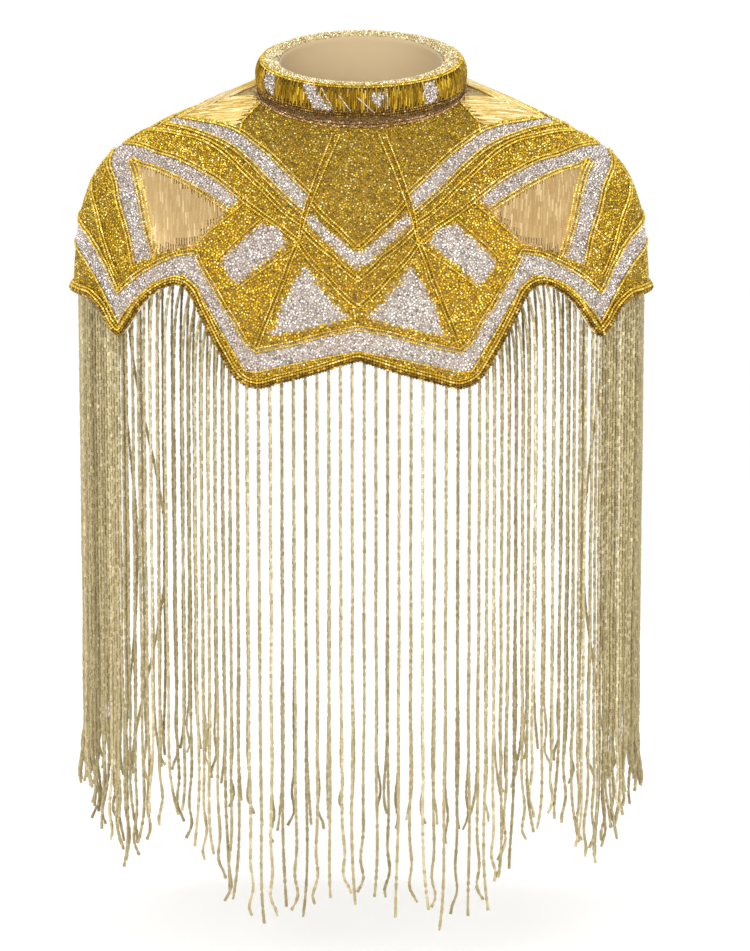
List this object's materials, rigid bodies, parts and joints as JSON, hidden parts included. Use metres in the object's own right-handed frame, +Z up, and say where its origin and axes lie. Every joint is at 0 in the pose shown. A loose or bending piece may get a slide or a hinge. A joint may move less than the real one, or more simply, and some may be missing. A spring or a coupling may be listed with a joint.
{
  "type": "beaded fringe cape",
  "caption": "Short shoulder cape of beaded cloth with a padded stand collar, a zigzag rolled hem and a long bead fringe hanging all round.",
  "frame": {"origin": "middle of the neck seam, level with its sides, where the wearer's neck carries the cape", "axes": "+Z up, +X to the right of someone looking at the front, +Y to the back of the wearer"},
  "size_m": [0.4402, 0.2601, 0.6611],
  "materials": {
    "bead_cloth": "cloth covered in small gold and silver glass beads",
    "lining_cloth": "smooth cream satin",
    "bead_rope": "rows of gold glass beads",
    "bead_strand": "strings of small gold glass beads"
  },
  "bodies": {
    "root": {"front_panel": "bead_cloth", "back_panel_left": "bead_cloth", "back_panel_right": "bead_cloth", "collar_band": "bead_cloth", "collar_lining": "lining_cloth", "hem_roll_front": "bead_rope", "hem_roll_back_left": "bead_rope", "hem_roll_back_right": "bead_rope", "fringe_front": "bead_strand", "fringe_back_left": "bead_strand", "fringe_back_right": "bead_strand"}
  },
  "joints": []
}
